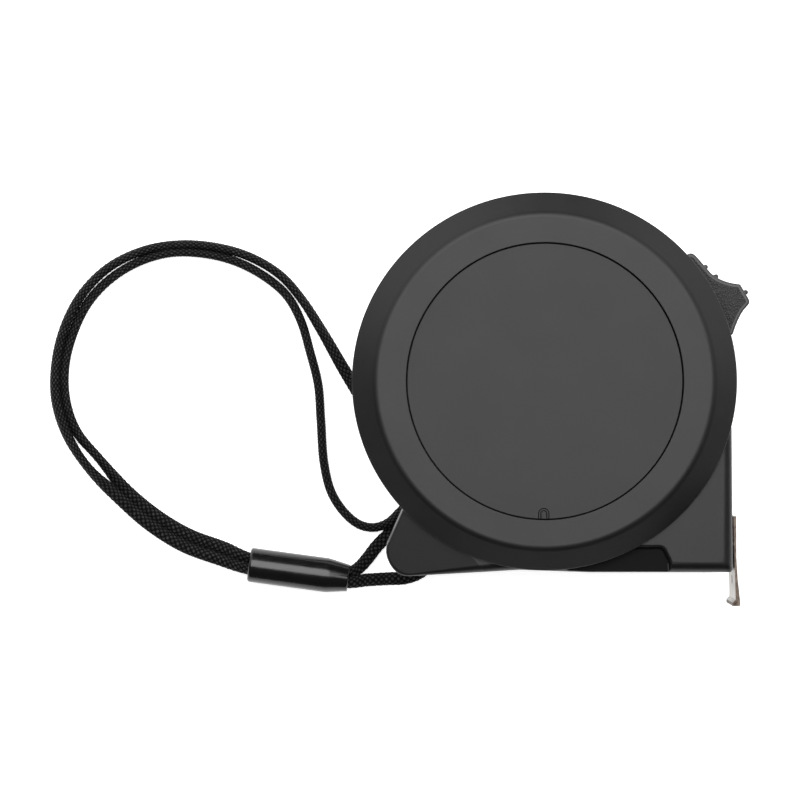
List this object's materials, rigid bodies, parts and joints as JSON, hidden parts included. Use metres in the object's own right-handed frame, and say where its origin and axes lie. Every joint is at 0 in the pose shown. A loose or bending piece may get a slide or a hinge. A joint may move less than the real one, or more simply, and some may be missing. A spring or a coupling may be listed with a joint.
{
  "type": "tape measure",
  "caption": "Round-faced pocket tape measure with a thumb lock, double-sided end hook, belt clip and a braided wrist strap with a sliding bead.",
  "frame": {"origin": "on the reel axis, at the surface that the belt clip rests on when the tape measure lies on its back", "axes": "+Z along the reel axis out of the front face, +X the way the blade pulls out, +Y the top of the case"},
  "size_m": [0.1288, 0.0749, 0.0362],
  "materials": {
    "shell_plastic": "satin black moulded plastic",
    "bezel_rubberised": "soft-touch rubberised black",
    "label_plastic": "flat dark grey plastic",
    "lock_plastic": "spark-eroded dark grey plastic",
    "hook_steel": "nickel-plated steel",
    "screw_steel": "black zinc-plated steel",
    "clip_steel": "black-coated spring steel",
    "spring_steel": "bare spring steel",
    "blade_paint": "yellow lacquered steel strip with a printed scale",
    "nylon": "natural nylon",
    "rubber": "black rubber",
    "cord_fabric": "black braided polyester cord",
    "bead_plastic": "glossy black plastic"
  },
  "bodies": {
    "case": {"rear_shell": "shell_plastic", "front_shell": "shell_plastic", "front_bezel": "bezel_rubberised", "label_disc": "label_plastic", "rear_cap": "shell_plastic", "case_screw_1": "screw_steel", "case_screw_2": "screw_steel", "case_screw_3": "screw_steel", "case_screw_4": "screw_steel", "belt_clip_root": "clip_steel", "belt_clip_screw": "screw_steel", "arbor_post": "spring_steel", "power_spring": "spring_steel", "mouth_guide_front": "nylon", "mouth_guide_rear": "nylon", "strap_grommet": "lock_plastic", "strap_post": "spring_steel", "wrist_cord_outer": "cord_fabric", "wrist_cord_inner": "cord_fabric"},
    "reel": {"blade_coil": "blade_paint", "reel_drum": "nylon", "spring_cover": "nylon"},
    "blade": {"blade_front": "blade_paint", "hook_rivet_1": "hook_steel", "hook_rivet_2": "hook_steel", "hook_rivet_3": "hook_steel"},
    "hook": {"end_hook": "hook_steel"},
    "lock": {"lock_button": "lock_plastic", "lock_arm": "nylon", "lock_pad": "rubber"},
    "belt_clip": {"belt_clip_tongue": "clip_steel"},
    "bead": {"cord_bead": "bead_plastic"}
  },
  "joints": [
    {"name": "reel_spin", "type": "hinge", "parent": "case", "child": "reel", "pos_m": [0, 0, 0.0195], "axis": [0, 0, 1], "range_deg": [0, 112], "stiffness_Nm_per_rad": 0.04},
    {"name": "blade_pull", "type": "slide", "parent": "case", "child": "blade", "axis": [1, 0, 0], "range_m": [0, 0.05]},
    {"name": "hook_float", "type": "slide", "parent": "blade", "child": "hook", "axis": [1, 0, 0], "range_m": [0, 0.001]},
    {"name": "lock_slide", "type": "hinge", "parent": "case", "child": "lock", "pos_m": [0, 0, 0.0195], "axis": [0, 0, 1], "range_deg": [-8, 0]},
    {"name": "clip_flex", "type": "hinge", "parent": "case", "child": "belt_clip", "pos_m": [0, 0.007, 0.0004], "axis": [1, 0, 0], "range_deg": [0, 6], "stiffness_Nm_per_rad": 6},
    {"name": "bead_slide", "type": "slide", "parent": "case", "child": "bead", "axis": [0.9909, -0.1345, 0], "range_m": [-0.001, 0]}
  ],
  "couplings": [
    {"joint": "blade_pull", "follows": "reel_spin", "m_per_rad": 0.0255}
  ]
}
